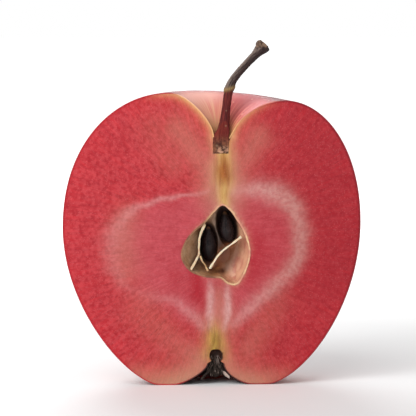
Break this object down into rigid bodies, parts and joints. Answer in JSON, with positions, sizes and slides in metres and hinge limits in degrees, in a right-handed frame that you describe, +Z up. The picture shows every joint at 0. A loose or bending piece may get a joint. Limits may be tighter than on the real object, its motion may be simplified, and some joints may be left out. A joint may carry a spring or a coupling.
{
  "type": "apple half",
  "caption": "Red-fleshed apple cut lengthwise into a half that stands on its calyx end, with its stem, open core, seeds and dried sepals.",
  "frame": {"origin": "middle of the bounding box's base, on the surface that the half stands on", "axes": "+Z up along the core to the stem, +Y from the cut face into the fruit, +X to the right as the cut face is seen"},
  "size_m": [0.0721, 0.0358, 0.0836],
  "materials": {
    "apple_flesh": "moist, finely fibrous cut flesh",
    "apple_skin": "waxy, semi-gloss",
    "stem": "dry bark",
    "seed": "smooth, slightly glossy",
    "core_wall": "thin, papery, faintly translucent",
    "sepal": "dry and brittle"
  },
  "bodies": {
    "root": {"apple_half": "apple_flesh", "stem": "stem", "seed_left": "seed", "seed_right": "seed", "core_wall_left": "core_wall", "core_wall_fork": "core_wall", "core_membrane": "core_wall", "sepal_1": "sepal", "sepal_2": "sepal", "sepal_3": "sepal"}
  },
  "joints": []
}
